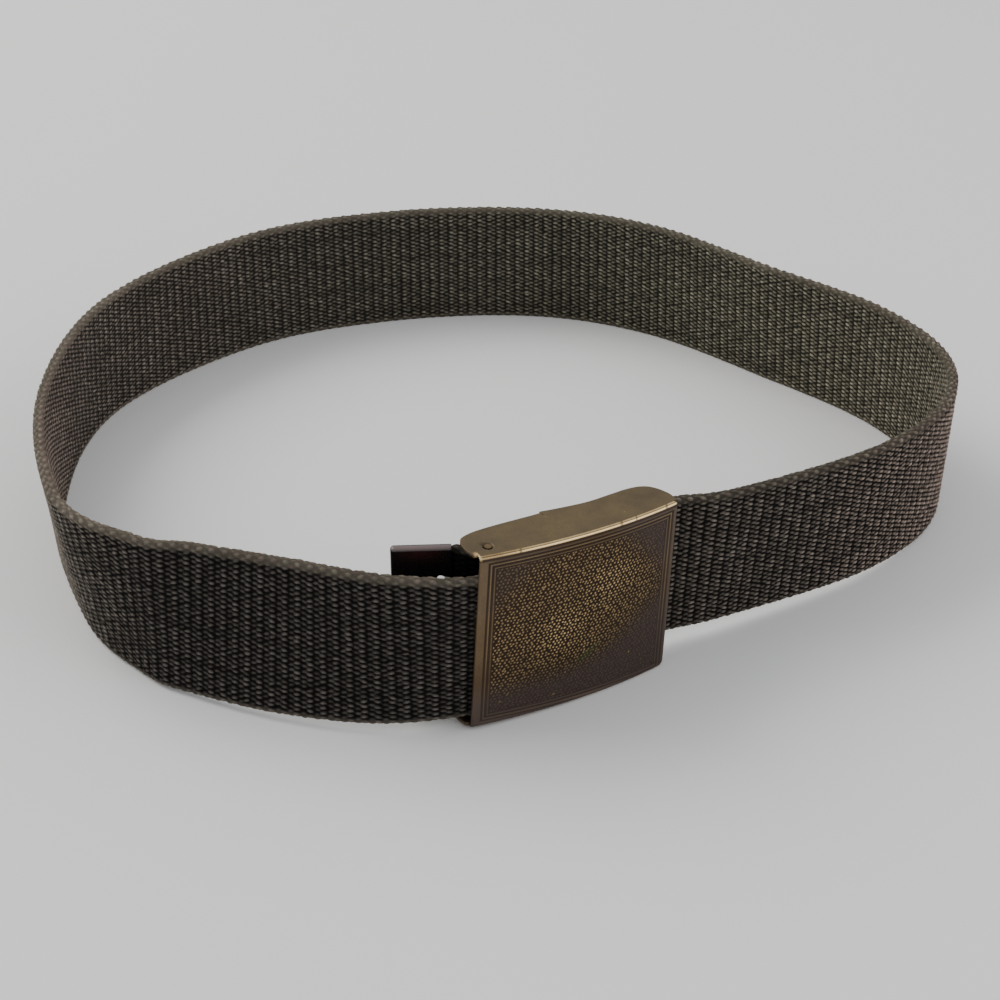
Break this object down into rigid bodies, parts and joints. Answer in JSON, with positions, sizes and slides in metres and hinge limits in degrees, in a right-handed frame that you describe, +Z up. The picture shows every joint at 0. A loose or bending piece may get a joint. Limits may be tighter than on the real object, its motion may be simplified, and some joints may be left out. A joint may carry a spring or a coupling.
{
  "type": "canvas web belt",
  "caption": "Olive canvas web belt fastened in a loop with an antique brass box buckle and a black metal tip on the free end.",
  "frame": {"origin": "middle of the whole belt's box in X and Y, at the height of the floor that its lower edge stands on", "axes": "+X to the right along the buckle as seen from the front, +Y from the buckle to the back of the loop, +Z up"},
  "size_m": [0.2442, 0.2212, 0.049],
  "materials": {
    "webbing_canvas": "matt woven cotton",
    "cover_brass": "antique, tarnished, edges rubbed bright",
    "frame_brass": "tarnished",
    "clamp_steel": "dull",
    "pin_brass": "dull",
    "tip_lacquer": "gloss black lacquer"
  },
  "bodies": {
    "root": {"webbing": "webbing_canvas", "cover": "cover_brass", "inner_frame": "frame_brass", "end_clamp": "clamp_steel", "hinge_pin_top": "pin_brass", "hinge_pin_bottom": "pin_brass", "strap_tip": "tip_lacquer"}
  },
  "joints": []
}
